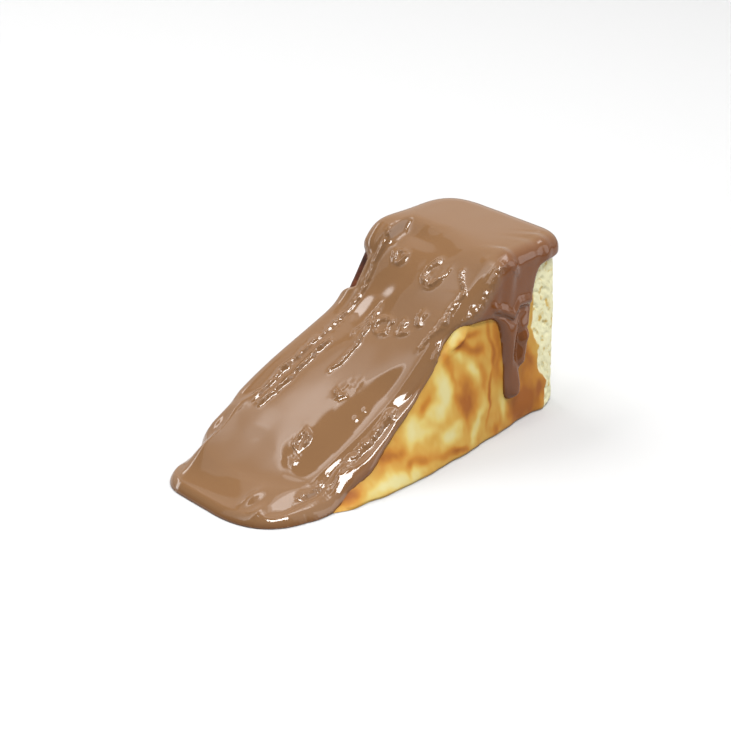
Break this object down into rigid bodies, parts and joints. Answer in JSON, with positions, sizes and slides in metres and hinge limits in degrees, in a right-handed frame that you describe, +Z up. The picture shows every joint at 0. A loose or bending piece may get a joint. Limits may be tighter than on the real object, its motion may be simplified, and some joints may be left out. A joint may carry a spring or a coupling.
{
  "type": "basque cheesecake slice",
  "caption": "Slice of basque burnt cheesecake lying on its cut side, its upper face covered with poured milk chocolate that drips over the sides and pools at the tip.",
  "frame": {"origin": "on the table, under the middle of the whole outline", "axes": "+Z up, +X from the slice's tip towards its tall outer end, -Y towards the marbled underside of the cake, +Y towards its baked top"},
  "size_m": [0.1151, 0.0502, 0.052],
  "materials": {
    "baked_cheesecake": "matte, mottled yellow and browned orange, with a dark baked top",
    "milk_chocolate": "glossy, poured"
  },
  "bodies": {
    "root": {"cheesecake_slice": "baked_cheesecake", "milk_chocolate_pour": "milk_chocolate"}
  },
  "joints": []
}
